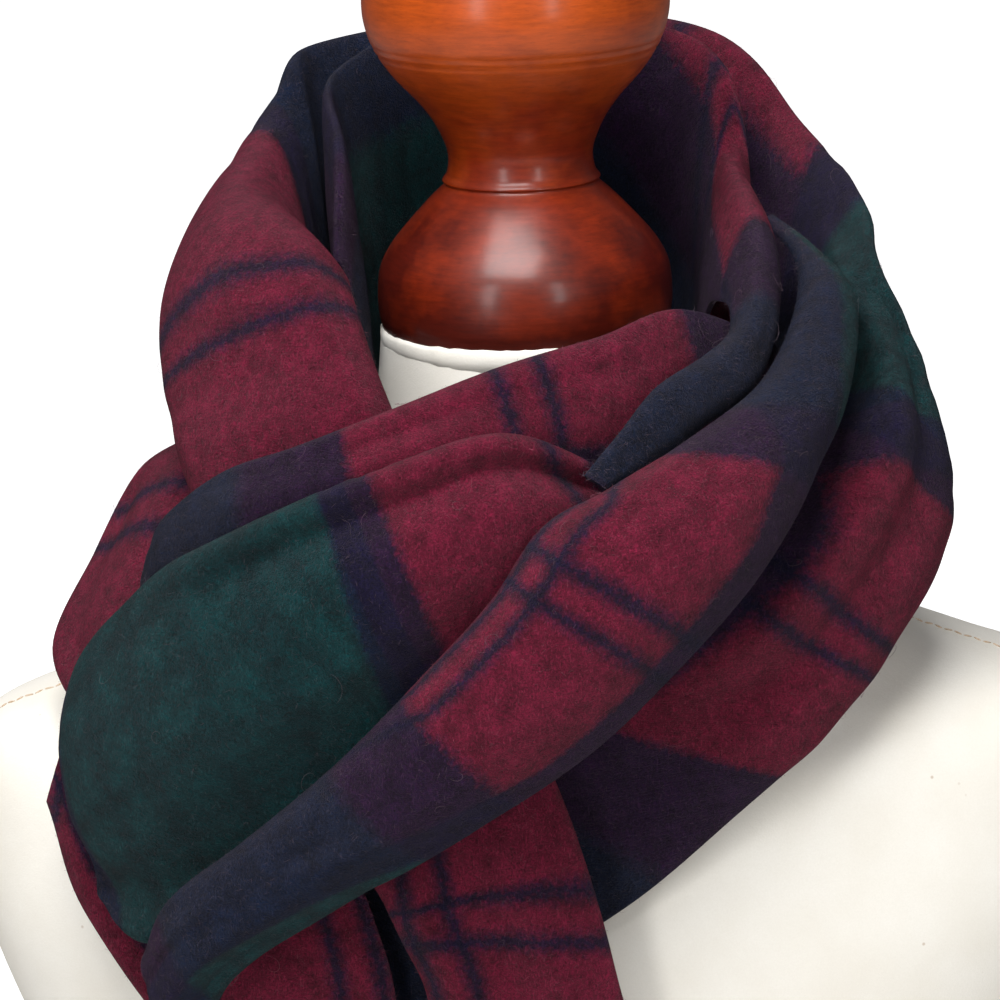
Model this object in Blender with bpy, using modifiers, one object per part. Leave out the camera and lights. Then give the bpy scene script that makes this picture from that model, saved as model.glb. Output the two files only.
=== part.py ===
"""A brushed wool scarf, doubled and slip-knotted round the neck of a limbless dress form.

The scarf is folded in half and laid round the neck: its folded end comes over the right shoulder,
opens into a loop in front, and the two tails come over the left shoulder and hang through the loop.
Sizes are millimetres until a mesh is made. The base of the form stands on z = 0, the front faces -Y.
"""

from collections import namedtuple
from functools import partial
import math

import bmesh
import bpy
from mathutils import Vector

MM = 0.001
WALL = 2.0
SEAM = 0.8
# How far apart two sections of the cloth lie, roughly.
SECTION_STEP = 26.0

NECK_TOP = 624.0
CAP_GAP = 0.3
TORSO_SIDES = 40

# One cross-section of a stretch of cloth: its two edges, how far the cloth stands out between them
# and how many degrees each edge rolls under.
Section = namedtuple("Section", "edge_a edge_b crown roll_a roll_b")
# A fold runs lengthwise. It crosses at a share of the width, from a first to a last share of the length.
Fold = namedtuple("Fold", "across_first across_last start stop height width")
Level = namedtuple("Level", "z half_width front back")
Colour = namedtuple("Colour", "name rgb roughness")

WINE = Colour("wine_wool", (0.20, 0.020, 0.055), 0.95)
GREEN = Colour("green_wool", (0.012, 0.075, 0.075), 0.95)
NAVY = Colour("navy_wool", (0.018, 0.014, 0.075), 0.95)
CREAM = Colour("cream_cover", (0.86, 0.82, 0.74), 0.85)
VARNISH = Colour("varnished_wood", (0.33, 0.055, 0.012), 0.22)

TORSO = [
    Level(0, 160, 98, 100),
    Level(45, 156, 96, 98),
    Level(95, 138, 85, 87),
    Level(140, 124, 77, 79),
    Level(195, 132, 86, 83),
    Level(250, 148, 97, 89),
    Level(305, 166, 103, 93),
    Level(355, 188, 101, 98),
    Level(405, 206, 96.3, 101),
    Level(445, 212, 87, 100),
    Level(470, 211, 79, 96),
    Level(484, 200, 70, 91),
    Level(495, 170, 64, 87),
    Level(507, 138, 59, 82),
    Level(520, 106, 56, 77),
    Level(538, 82, 54, 70),
    Level(560, 66, 53, 62),
    Level(588, 56, 52, 55),
    Level(NECK_TOP, 52, 51, 52),
]

# Radius and height above the neck, from the middle of the top down the outer side.
CAP_PROFILE = [
    (0, 153), (12, 152.4), (28, 149.5), (41, 143), (49.5, 134), (53.5, 124), (54.5, 114), (53.8, 105.5),
    (50.7, 96.5), (44.4, 87), (36.2, 78), (31, 71), (27.5, 64), (25.8, 58), (26.4, 52), (28.2, 49),
    (27.6, 47.4), (32.8, 42.5), (40.8, 34), (47.4, 26), (51.6, 18), (52.6, 11), (51, 4.5), (46.5, 0), (0, 0),
]

# The outer layer behind the neck, from the right side round to the left, folded over its top edge.
COLLAR_OUTER = [
    Section((78, 80, 586), (59, 67, 590), 124, 0, 0),
    Section((48, 97, 580), (36, 81, 584), 138, 0, 0),
    Section((0, 103, 578), (0, 86, 582), 138, 0, 0),
    Section((-48, 97, 580), (-36, 81, 584), 134, 0, 0),
    Section((-84, 79, 586), (-67, 65, 590), 124, 0, 0),
]
# The inner layer behind the neck. On the left it sinks under the tails.
COLLAR_INNER = [
    Section((56, 59, 594), (46, 48, 596), 124, 0, 0),
    Section((28, 71, 592), (22, 59, 594), 131, 0, 0),
    Section((0, 75, 590), (0, 63, 592), 134, 0, 0),
    Section((-29, 71, 592), (-23, 59, 594), 131, 0, 0),
    Section((-54, 54, 594), (-44, 43, 596), 122, 0, 0),
    Section((-65, 24, 600), (-55, 18, 602), 106, 0, 0),
    Section((-65, -8, 606), (-55.8, -11, 607), 80, 0, 0),
    Section((-62, -32, 610), (-57, -33, 611), 40, 0, 0),
]
# The strand nearest the neck on the right. It narrows as it twists into the knot.
STRAND_INNER = [
    Section((59, 30, 602), (74, 36, 600), 112, 0, 0),
    Section((62, 3, 612), (80, 7, 608), 80, 0, 0),
    Section((66, -23, 630), (86, -20, 626), 42, 0, 10),
    Section((71, -48, 637), (87, -45, 633), 16, 10, 20),
    Section((70, -73, 630), (83, -69, 625), 9, 10, 10),
    Section((60, -92, 625), (73, -85, 611), 7, 10, 10),
    Section((43, -107, 618), (57, -101, 604), 6, 10, 10),
    Section((30, -120, 606), (40, -115, 594), 4, 10, 10),
    Section((17, -130, 594), (23, -127, 588), 3, 0, 0),
]
# The outer strand on the right. It sweeps behind the tails and turns up at the left of the loop.
STRAND_OUTER = [
    Section((84, 38, 594), (101, 49, 590), 92, 0, 0),
    Section((97, -6, 603), (109, 0, 598), 60, 0, 0),
    Section((106, -42, 596), (118, -24, 593), 35, 0, 14),
    Section((92, -62, 588), (140, -34, 560), 30, 0, 60),
    Section((68, -82, 564), (140, -48, 541), 25, 0, 60),
    Section((36, -90, 538), (122, -68, 514), 22, 0, 50),
    Section((8, -93, 518), (98, -84, 488), 14, 0, 30),
    Section((-20, -94, 503), (66, -92, 463), 7, 0, 10),
    Section((-48, -93, 492), (26, -97, 432), 3, 0, 0),
    Section((-76, -89, 484), (-28, -97, 402), 3, 0, 0),
    Section((-104, -82, 474), (-84, -95, 384), 4, 0, 0),
    Section((-130, -74, 470), (-124, -92, 382), 6, 0, 10),
    Section((-152, -68, 478), (-160, -87, 432), 7, 0, 20),
    Section((-167, -64, 492), (-173.5, -73, 470), 6, 0, 20),
]
# The broad roll that crosses in front, from the right shoulder to the bottom of the loop.
ROLL = [
    Section((87, 8, 652), (90.5, 10, 652), 2, 0, 0),
    Section((96, -22, 644), (102, -18, 643), 5, 0, 0),
    Section((93, -57, 632), (112, -44, 630), 11, 0, 20),
    Section((79, -94, 616), (107, -76, 608), 14, 10, 30),
    Section((52, -122, 603), (96, -100, 590), 17, 10, 35),
    Section((25, -137, 591), (85, -120, 574), 18, 15, 35),
    Section((3, -145.6, 581), (68, -134, 553), 18, 15, 35),
    Section((-15, -153, 558), (41, -144, 527), 17, 15, 35),
    Section((-37, -154, 535), (12, -149, 503), 16, 15, 35),
    Section((-68, -153, 504), (-29, -149, 477), 14, 15, 35),
    Section((-102, -148, 475), (-70, -144, 453), 12, 15, 35),
    Section((-127, -140, 454), (-105, -135, 429), 11, 15, 30),
    Section((-138, -126, 430), (-122, -122, 398), 10, 15, 20),
]
# The upper edge of the loop, folded over and running from the right strand to the left.
BAND = [
    Section((84, -50, 621), (97, -57, 578), 3, 0, 0),
    Section((52, -76, 638), (52, -80, 576), 5, 20, 0),
    Section((24, -94, 633), (22, -97, 578), 8, 40, 0),
    Section((-10, -106, 626), (-10, -109, 582), 10, 50, 0),
    Section((-47, -111, 614), (-46, -113, 580), 11, 50, 0),
    Section((-78, -110, 603), (-78, -112, 568), 11, 50, 0),
    Section((-103, -101, 593), (-104, -104, 556), 11, 50, 0),
    Section((-120, -88, 577), (-121, -92, 546), 10, 40, 0),
    Section((-128, -72, 558), (-129, -78, 536), 8, 20, 0),
]
# The pouch of the loop between its upper edge and the roll, puffed out by the cloth turned inside it.
COWL = [
    Section((26, -112, 590), (38, -114, 552), 4, 0, 0),
    Section((-9, -131, 605), (7, -126, 540), 6, 15, 0),
    Section((-44, -137, 597), (-24, -130, 512), 8, 20, 0),
    Section((-78, -135, 585), (-55, -130, 482), 9, 20, 0),
    Section((-112, -127, 568), (-88, -126, 456), 9, 20, 0),
    Section((-137, -113, 552), (-116, -119, 438), 9, 20, 0),
    Section((-155, -96, 530), (-138, -108, 430), 9, 20, 0),
    Section((-163, -80, 508), (-149, -96, 440), 8, 20, 0),
]
# The tail that shows, from the left of the nape over the shoulder, behind the loop and down.
TAIL_OVER = [
    Section((-104, 48, 594), (-73, 36, 598), 105, 0, 0),
    Section((-114, 19, 604), (-73, -5, 622), 75, 12, 0),
    Section((-121, -10, 611), (-67, -41, 652), 39, 40, 10),
    Section((-122, -28, 612), (-63, -62, 646), 26, 60, 10),
    Section((-121, -42, 600), (-56, -76, 627), 19, 50, 10),
    Section((-119, -56, 583), (-48, -90, 608), 16, 30, 10),
    Section((-107, -80, 550), (-33, -100, 572), 8, 10, 10),
    Section((-84, -103, 506), (-14, -110, 526), 5, 10, 10),
    Section((-63, -111, 458), (3, -115, 484), 5, 10, 10),
    Section((-50, -116, 430), (14, -119, 450), 5, 10, 10),
    Section((-41, -118, 400), (24, -121, 406), 5, 10, 10),
    Section((-50, -120, 345), (38, -123, 348), 5, 10, 10),
    Section((-62, -120, 285), (54, -123, 290), 5, 10, 10),
]
# The other tail, which comes out from under the first one and lies behind it.
TAIL_UNDER = [
    Section((-93, 44, 612), (-83, 38, 612), 4, 0, 0),
    Section((-106, 24, 582), (-84, 8, 588), 7, 0, 0),
    Section((-124, 4, 576), (-91, -20, 583), 9, 10, 0),
    Section((-143, -14, 568), (-98, -44, 577), 9, 20, 0),
    Section((-157, -22, 544), (-106, -68, 552), 11, 30, 0),
    Section((-171, -34, 514), (-102, -85, 524), 13, 30, 0),
    Section((-155, -68, 490), (-88, -97, 498), 7, 10, 0),
    Section((-134, -94, 462), (-72, -102, 464), 3, 10, 0),
    Section((-126, -102, 430), (-60, -106, 430), 3, 10, 0),
    Section((-123, -105, 400), (-54, -109, 400), 3, 10, 0),
    Section((-128, -107, 330), (-50, -110, 330), 4, 10, 0),
    Section((-140, -106, 256), (-36, -110, 260), 4, 10, 0),
]

STRAND_OUTER_FOLDS = [
    Fold(0.62, 0.80, 0.50, 0.90, 4.0, 0.08),
    Fold(0.50, 0.66, 0.45, 0.86, -4.0, 0.08),
    Fold(0.78, 0.92, 0.45, 0.86, -3.0, 0.08),
]
ROLL_FOLDS = [
    Fold(0.55, 0.40, 0.20, 0.62, 2.0, 0.12),
    Fold(0.70, 0.62, 0.45, 1.05, -2.5, 0.10),
]
COWL_FOLDS = [
    Fold(0.10, 0.14, -0.05, 0.75, 5.0, 0.09),
    Fold(0.28, 0.24, -0.05, 0.60, -5.0, 0.08),
    Fold(0.40, 0.50, 0.00, 1.05, 8.0, 0.18),
    Fold(0.80, 0.70, 0.55, 1.05, -3.0, 0.08),
]
BAND_FOLDS = [Fold(0.62, 0.55, 0.35, 0.80, 2.5, 0.12)]
TAIL_OVER_FOLDS = [
    Fold(0.30, 0.36, 0.24, 0.60, 2.5, 0.12),
    Fold(0.30, 0.26, 0.70, 1.10, 2.6, 0.10),
    Fold(0.66, 0.70, 0.80, 1.10, 2.2, 0.10),
    Fold(0.48, 0.50, 0.74, 1.10, -2.2, 0.08),
]
TAIL_UNDER_FOLDS = [
    Fold(0.30, 0.40, 0.25, 0.55, -4.0, 0.10),
    Fold(0.34, 0.30, 0.62, 1.10, 2.2, 0.12),
]


def turned_round(sections):
    """The same sections passed the other way, with the edges changed over."""
    return [Section(row.edge_b, row.edge_a, row.crown, row.roll_b, row.roll_a) for row in reversed(sections)]


def eased(share):
    """Rises smoothly from 0 to 1 as the share does."""
    share = min(max(share, 0.0), 1.0)
    return share * share * (3 - 2 * share)


def curve_value(values, share):
    """The value at a share of the way along a smooth curve through evenly counted values."""
    place = min(max(share, 0.0), 1.0) * (len(values) - 1)
    first = min(int(place), len(values) - 2)
    t = place - first
    before = values[first - 1] if first else 2 * values[0] - values[1]
    p1, p2 = values[first], values[first + 1]
    after = values[first + 2] if first + 2 < len(values) else 2 * p2 - p1
    return 0.5 * (2 * p1 + (p2 - before) * t + (2 * before - 5 * p1 + 4 * p2 - after) * t * t
                  + (3 * p1 - before - 3 * p2 + after) * t * t * t)


def fold_height(folds, along, across):
    """How far the folds lift or sink the cloth here."""
    total = 0.0
    for fold in folds:
        if not fold.start < along < fold.stop:
            continue
        share = (along - fold.start) / (fold.stop - fold.start)
        centre = fold.across_first + (fold.across_last - fold.across_first) * share
        fade = eased(share * 5) * eased((1 - share) * 5)
        total += fold.height * fade * math.exp(-((across - centre) / fold.width) ** 2)
    return total


def cloth_point(sections, folds, along, share, across):
    """A point of the middle of the cloth, in millimetres, with the folds placed by the stretch's own share."""
    def edge_at(which, share):
        return curve_value([Vector(getattr(section, which)) for section in sections], share)

    step = 0.5 / len(sections)
    edge_a, edge_b = edge_at("edge_a", along), edge_at("edge_b", along)
    forward = (edge_at("edge_a", along + step) + edge_at("edge_b", along + step)
               - edge_at("edge_a", along - step) - edge_at("edge_b", along - step))
    width_way = (edge_b - edge_a) / 2
    half = width_way.length
    width_way.normalize()
    out = forward.cross(width_way).normalized()
    crown = max(curve_value([section.crown for section in sections], along), 1.0)
    roll_a = max(curve_value([section.roll_a for section in sections], along), 0.0)
    roll_b = max(curve_value([section.roll_b for section in sections], along), 0.0)
    angle = math.radians(-roll_a + (180 + roll_a + roll_b) * across)
    lift_way = (width_way * (-math.cos(angle) / half) + out * (math.sin(angle) / crown)).normalized()
    middle = (edge_a + edge_b) / 2
    place = middle - width_way * half * math.cos(angle) + out * crown * math.sin(angle)
    return place + lift_way * fold_height(folds, share, across)


def material(colour):
    """The Principled material of a colour, made once."""
    made = bpy.data.materials.get(colour.name)
    if made:
        return made
    made = bpy.data.materials.new(colour.name)
    made.use_nodes = True
    shader = made.node_tree.nodes["Principled BSDF"]
    shader.inputs["Base Color"].default_value = (*colour.rgb, 1)
    shader.inputs["Roughness"].default_value = colour.roughness
    shader.inputs["Metallic"].default_value = 0.0
    return made


def add_object(name, mesh, colour, collection):
    """Puts a mesh in the collection under its name, with its material."""
    mesh.materials.append(material(colour))
    mesh.shade_smooth()
    made = bpy.data.objects.new(name, mesh)
    collection.objects.link(made)
    return made


def stretch_of_cloth(collection, name, sections, span, folds, colour, rows, columns):
    """One stretch of the scarf: an open sheet through its sections, thickened to the cloth's wall.

    The span gives the first and the last section it reaches, less half a seam where another goes on.
    """
    last = len(sections) - 1
    trim = SEAM / 2 / SECTION_STEP
    first = span[0] + (trim if span[0] else 0)
    final = span[1] - (trim if span[1] < last else 0)
    sheet = bmesh.new()
    grid = []
    for i in range(rows + 1):
        share = i / rows
        along = (first + (final - first) * share) / last
        points = [cloth_point(sections, folds, along, share, j / columns) * MM for j in range(columns + 1)]
        grid.append([sheet.verts.new(point) for point in points])
    for i in range(rows):
        for j in range(columns):
            sheet.faces.new((grid[i][j], grid[i + 1][j], grid[i + 1][j + 1], grid[i][j + 1]))
    mesh = bpy.data.meshes.new(name)
    sheet.to_mesh(mesh)
    sheet.free()
    made = add_object(name, mesh, colour, collection)
    wall = made.modifiers.new("wall", "SOLIDIFY")
    wall.thickness = WALL * MM
    wall.offset = 0
    return made


def level_point(level, angle):
    """A point of the form's outline at a level, fuller in front or behind as the level says."""
    depth = level.front if math.sin(angle) < 0 else level.back
    return Vector((level.half_width * math.cos(angle), depth * math.sin(angle), level.z)) * MM


def torso(collection):
    """The cloth-covered form, closed over at its base and at the top of its neck."""
    body = bmesh.new()
    rings = [
        [body.verts.new(level_point(level, 2 * math.pi * i / TORSO_SIDES)) for i in range(TORSO_SIDES)]
        for level in TORSO
    ]
    for lower, upper in zip(rings, rings[1:]):
        for i in range(TORSO_SIDES):
            j = (i + 1) % TORSO_SIDES
            body.faces.new((lower[i], lower[j], upper[j], upper[i]))
    body.faces.new(reversed(rings[0]))
    body.faces.new(rings[-1])
    mesh = bpy.data.meshes.new("torso")
    body.to_mesh(mesh)
    body.free()
    return add_object("torso", mesh, CREAM, collection)


def neck_cap(collection):
    """The turned wooden cap that closes the neck."""
    mesh = bpy.data.meshes.new("neck_cap")
    points = [(radius * MM, 0, (NECK_TOP + CAP_GAP + height) * MM) for radius, height in CAP_PROFILE]
    mesh.from_pydata(points, [(i, i + 1) for i in range(len(points) - 1)], [])
    made = add_object("neck_cap", mesh, VARNISH, collection)
    turn = made.modifiers.new("turn", "SCREW")
    turn.steps = turn.render_steps = 32
    turn.use_merge_vertices = True
    turn.merge_threshold = 0.00001
    return made


def main():
    for old in list(bpy.data.objects):
        bpy.data.objects.remove(old)
    collection = bpy.data.collections.new("wool_scarf")
    bpy.context.scene.collection.children.link(collection)
    torso(collection)
    neck_cap(collection)
    strand = turned_round(STRAND_OUTER)
    outer = strand + COLLAR_OUTER + TAIL_OVER
    right, left = len(strand), len(strand) + len(COLLAR_OUTER) - 1
    add = partial(stretch_of_cloth, collection)
    add("strand_outer", outer, (0, right), STRAND_OUTER_FOLDS, WINE, 34, 18)
    add("collar_outer", outer, (right, left), [], GREEN, 10, 16)
    add("tail_over", outer, (left, len(outer) - 1), TAIL_OVER_FOLDS, WINE, 32, 18)
    strand = turned_round(STRAND_INNER)
    inner = strand + COLLAR_INNER
    add("strand_inner", inner, (0, len(strand)), [], WINE, 18, 12)
    add("collar_inner", inner, (len(strand), len(inner) - 1), [], NAVY, 16, 12)
    add("roll", ROLL, (0, len(ROLL) - 1), ROLL_FOLDS, WINE, 26, 14)
    add("band", BAND, (0, len(BAND) - 1), BAND_FOLDS, WINE, 18, 12)
    add("cowl", COWL, (0, len(COWL) - 1), COWL_FOLDS, GREEN, 20, 20)
    add("tail_under", TAIL_UNDER, (0, len(TAIL_UNDER) - 1), TAIL_UNDER_FOLDS, WINE, 20, 14)


main()
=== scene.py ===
"""Looks of a brushed wool check scarf, doubled and slip-knotted round a limbless dress form.

The scarf is one woven length. The form is a cream jersey cover with a shoulder seam, under a turned and
varnished wooden neck cap.
"""

from dataclasses import dataclass, field
from enum import Enum
import logging
import math
import random

import bmesh
import bpy
from mathutils import Matrix, Vector
import numpy as np


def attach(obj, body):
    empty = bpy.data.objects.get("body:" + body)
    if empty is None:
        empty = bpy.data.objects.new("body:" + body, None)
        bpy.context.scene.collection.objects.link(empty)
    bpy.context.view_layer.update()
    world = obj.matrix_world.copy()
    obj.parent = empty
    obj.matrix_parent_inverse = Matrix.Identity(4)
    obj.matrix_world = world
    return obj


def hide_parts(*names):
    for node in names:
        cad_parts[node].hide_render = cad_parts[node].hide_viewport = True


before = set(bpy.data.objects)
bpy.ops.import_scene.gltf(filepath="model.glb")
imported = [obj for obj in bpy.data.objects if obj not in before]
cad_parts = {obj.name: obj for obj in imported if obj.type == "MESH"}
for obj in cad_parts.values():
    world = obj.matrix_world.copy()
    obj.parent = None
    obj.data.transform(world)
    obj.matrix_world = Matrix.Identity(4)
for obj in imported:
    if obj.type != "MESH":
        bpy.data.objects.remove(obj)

MM = 0.001
LOG = logging.getLogger("wool_scarf")

BODY = "root"
WEAVE_MAP = "weave"

# Millimetres: the cloth's wall, the check's repeat, the neck's top, the cap's stand over it, and how far the
# cover stops short of the neck's top under the cap's foot.
WALL = 2.0
REPEAT = 303.0
NECK_TOP = 624.0
CAP_GAP = 0.3
COVER_DROP = 4.0

# The wrinkles: their number, their height as a share of their length, and how far they bend in millimetres.
WRINKLES = 9
WRINKLE_RISE = 0.0062
WRINKLE_BEND = 7.0

Colour = tuple[float, float, float]
Parts = tuple[np.ndarray, np.ndarray, np.ndarray]


@dataclass(frozen=True)
class Section:
    """One cross-section of a stretch: its edges, its crown and the degrees each edge rolls under."""

    edge_a: tuple[float, float, float]
    edge_b: tuple[float, float, float]
    crown: float
    roll_a: float = 0.0
    roll_b: float = 0.0


@dataclass(frozen=True)
class Crease:
    """A fold that runs lengthwise, placed by share of the width and by section number."""

    across_first: float
    across_last: float
    first: float
    last: float
    height: float
    width: float


@dataclass(frozen=True)
class CheckPlace:
    """Where the check lies at one section: millimetres across and along it, at edge a and at edge b."""

    section: float
    across_a: float
    across_b: float
    along_a: float
    along_b: float


@dataclass(frozen=True)
class Level:
    """One level of the form: its height, half width and depth to the front and the back."""

    z: float
    half_width: float
    front: float
    back: float


def records(kind: type, rows: list[tuple]) -> list:
    """One record of a kind for each row of its values."""
    return [kind(*row) for row in rows]


TORSO = records(Level, [
    (0, 160, 98, 100), (45, 156, 96, 98), (95, 138, 85, 87), (140, 124, 77, 79), (195, 132, 86, 83),
    (250, 148, 97, 89), (305, 166, 103, 93), (355, 188, 101, 98), (405, 206, 96.3, 101),
    (445, 212, 87, 100), (470, 211, 79, 96), (484, 200, 70, 91), (495, 170, 64, 87), (507, 138, 59, 82),
    (520, 106, 56, 77), (538, 82, 54, 70), (560, 66, 53, 62), (588, 56, 52, 55),
    (NECK_TOP - COVER_DROP, 52, 51, 52),
])

# Radius and height above the neck in millimetres, from the middle of the top down the outer side.
CAP_PROFILE = [
    (0, 153), (12, 152.4), (28, 149.5), (41, 143), (49.5, 134), (53.5, 124), (54.5, 114), (53.8, 105.5),
    (50.7, 96.5), (44.4, 87), (36.2, 78), (31, 71), (27.5, 64), (25.8, 58), (26.4, 52), (28.2, 49),
    (27.6, 47.4), (32.8, 42.5), (40.8, 34), (47.4, 26), (51.6, 18), (52.7, 9.5), (52.5, 1.8),
    (51.3, -3.7), (0, -3.7),
]

# The outer layer: up from behind the loop, round the nape and down as the tail that shows.
OUTER_LAYER = records(Section, [
    ((-173.5, -73, 470), (-167, -64, 492), 6, 20), ((-160, -87, 432), (-152, -68, 478), 7, 20),
    ((-124, -92, 382), (-130, -74, 470), 6, 10), ((-84, -95, 384), (-104, -82, 474), 4),
    ((-28, -97, 402), (-76, -89, 484), 3), ((26, -97, 432), (-48, -93, 492), 3),
    ((66, -92, 463), (-20, -94, 503), 7, 10), ((98, -84, 488), (8, -93, 518), 14, 30),
    ((122, -68, 514), (36, -90, 538), 22, 50), ((140, -48, 541), (68, -82, 564), 25, 60),
    ((140, -34, 560), (92, -62, 588), 30, 60), ((118, -24, 593), (106, -42, 596), 35, 14),
    ((109, 0, 598), (97, -6, 603), 60), ((101, 49, 590), (84, 38, 594), 92),
    ((78, 80, 586), (59, 67, 590), 124), ((48, 97, 580), (36, 81, 584), 138),
    ((0, 103, 578), (0, 86, 582), 138), ((-48, 97, 580), (-36, 81, 584), 134),
    ((-84, 79, 586), (-67, 65, 590), 124), ((-104, 48, 594), (-73, 36, 598), 105),
    ((-114, 19, 604), (-73, -5, 622), 75, 12), ((-121, -10, 611), (-67, -41, 652), 39, 40, 10),
    ((-122, -28, 612), (-63, -62, 646), 26, 60, 10), ((-121, -42, 600), (-56, -76, 627), 19, 50, 10),
    ((-119, -56, 583), (-48, -90, 608), 16, 30, 10), ((-107, -80, 550), (-33, -100, 572), 8, 10, 10),
    ((-84, -103, 506), (-14, -110, 526), 5, 10, 10), ((-63, -111, 458), (3, -115, 484), 5, 10, 10),
    ((-50, -116, 430), (14, -119, 450), 5, 10, 10), ((-41, -118, 400), (24, -121, 406), 5, 10, 10),
    ((-50, -120, 345), (38, -123, 348), 5, 10, 10), ((-62, -120, 285), (54, -123, 290), 5, 10, 10),
])
# The inner layer: back from the knot along the neck, round the nape and under the tails.
INNER_LAYER = records(Section, [
    ((23, -127, 588), (17, -130, 594), 3), ((40, -115, 594), (30, -120, 606), 4, 10, 10),
    ((57, -101, 604), (43, -107, 618), 6, 10, 10), ((73, -85, 611), (60, -92, 625), 7, 10, 10),
    ((83, -69, 625), (70, -73, 630), 9, 10, 10), ((87, -45, 633), (71, -48, 637), 16, 20, 10),
    ((86, -20, 626), (66, -23, 630), 42, 10), ((80, 7, 608), (62, 3, 612), 80),
    ((74, 36, 600), (59, 30, 602), 112), ((56, 59, 594), (46, 48, 596), 124),
    ((28, 71, 592), (22, 59, 594), 131), ((0, 75, 590), (0, 63, 592), 134),
    ((-29, 71, 592), (-23, 59, 594), 131), ((-54, 54, 594), (-44, 43, 596), 122),
    ((-65, 24, 600), (-55, 18, 602), 106), ((-65, -8, 606), (-55.8, -11, 607), 80),
    ((-62, -32, 610), (-57, -33, 611), 40),
])
# The broad roll, from its upper end on the right down to the left.
ROLL = records(Section, [
    ((87, 8, 652), (90.5, 10, 652), 2), ((96, -22, 644), (102, -18, 643), 5),
    ((93, -57, 632), (112, -44, 630), 11, 0, 20), ((79, -94, 616), (107, -76, 608), 14, 10, 30),
    ((52, -122, 603), (96, -100, 590), 17, 10, 35), ((25, -137, 591), (85, -120, 574), 18, 15, 35),
    ((3, -145.6, 581), (68, -134, 553), 18, 15, 35), ((-15, -153, 558), (41, -144, 527), 17, 15, 35),
    ((-37, -154, 535), (12, -149, 503), 16, 15, 35), ((-68, -153, 504), (-29, -149, 477), 14, 15, 35),
    ((-102, -148, 475), (-70, -144, 453), 12, 15, 35), ((-127, -140, 454), (-105, -135, 429), 11, 15, 30),
    ((-138, -126, 430), (-122, -122, 398), 10, 15, 20),
])
# The loop's turned-over upper edge, from right to left.
BAND = records(Section, [
    ((84, -50, 621), (97, -57, 578), 3), ((52, -76, 638), (52, -80, 576), 5, 20),
    ((24, -94, 633), (22, -97, 578), 8, 40), ((-10, -106, 626), (-10, -109, 582), 10, 50),
    ((-47, -111, 614), (-46, -113, 580), 11, 50), ((-78, -110, 603), (-78, -112, 568), 11, 50),
    ((-103, -101, 593), (-104, -104, 556), 11, 50), ((-120, -88, 577), (-121, -92, 546), 10, 40),
    ((-128, -72, 558), (-129, -78, 536), 8, 20),
])
# The loop's pouch below the band, from right to left.
COWL = records(Section, [
    ((26, -112, 590), (38, -114, 552), 4), ((-9, -131, 605), (7, -126, 540), 6, 15),
    ((-44, -137, 597), (-24, -130, 512), 8, 20), ((-78, -135, 585), (-55, -130, 482), 9, 20),
    ((-112, -127, 568), (-88, -126, 456), 9, 20), ((-137, -113, 552), (-116, -119, 438), 9, 20),
    ((-155, -96, 530), (-138, -108, 430), 9, 20), ((-163, -80, 508), (-149, -96, 440), 8, 20),
])
# The second tail, from behind the collar down to its plain end.
TAIL_UNDER = records(Section, [
    ((-93, 44, 612), (-83, 38, 612), 4), ((-106, 24, 582), (-84, 8, 588), 7),
    ((-124, 4, 576), (-91, -20, 583), 9, 10), ((-143, -14, 568), (-98, -44, 577), 9, 20),
    ((-157, -22, 544), (-106, -68, 552), 11, 30), ((-171, -34, 514), (-102, -85, 524), 13, 30),
    ((-155, -68, 490), (-88, -97, 498), 7, 10), ((-134, -94, 462), (-72, -102, 464), 3, 10),
    ((-126, -102, 430), (-60, -106, 430), 3, 10), ((-123, -105, 400), (-54, -109, 400), 3, 10),
    ((-128, -107, 330), (-50, -110, 330), 4, 10), ((-140, -106, 256), (-36, -110, 260), 4, 10),
])


class Fibre(Enum):
    """How the loose hairs of a cloth stand."""

    NAP = "short brushed nap"
    CURL = "long loose curl"


def eased(share: np.ndarray) -> np.ndarray:
    """Rises smoothly from 0 to 1 as the share does."""
    share = np.clip(share, 0.0, 1.0)
    return share * share * (3 - 2 * share)


def curve_values(values: np.ndarray, places: np.ndarray) -> np.ndarray:
    """Values along a smooth curve through evenly counted ones.

    Args:
        values: The counted values, one row each.
        places: Where to read, in counts from the first value.

    Returns:
        One row for each place.
    """
    places = np.clip(places, 0, len(values) - 1)
    first = np.minimum(places.astype(int), len(values) - 2)
    t = (places - first)[:, None]
    padded = np.vstack([2 * values[0] - values[1], values, 2 * values[-1] - values[-2]])
    before, p1, p2, after = (padded[first + k] for k in range(4))
    return 0.5 * (2 * p1 + (p2 - before) * t + (2 * before - 5 * p1 + 4 * p2 - after) * t**2
                  + (3 * p1 - before - 3 * p2 + after) * t**3)


def unit(vectors: np.ndarray) -> np.ndarray:
    """The vectors at length one."""
    return vectors / np.maximum(np.linalg.norm(vectors, axis=-1, keepdims=True), 1e-9)


def waves(across: np.ndarray, along: np.ndarray, seed: int) -> np.ndarray:
    """Uneven shallow wrinkles in millimetres, mostly lengthwise.

    Args:
        across: Millimetres across the cloth at each point.
        along: Millimetres along it.
        seed: Picks the wrinkles.

    Returns:
        The height at each point.
    """
    draw = random.Random(seed)
    total = np.zeros_like(across)
    for _ in range(WRINKLES):
        length = draw.uniform(14, 46)
        lean = draw.gauss(0, 0.35)
        phase = draw.uniform(0, 2 * math.pi)
        bend = WRINKLE_BEND * np.sin(along / draw.uniform(38, 90) + draw.uniform(0, 6))
        patch = 0.5 + 0.5 * np.sin(along / draw.uniform(25, 60) + draw.uniform(0, 6))
        total += length * WRINKLE_RISE * patch * np.sin(
            2 * math.pi * ((across + bend) * math.cos(lean) + along * math.sin(lean)) / length + phase)
    return total


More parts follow.
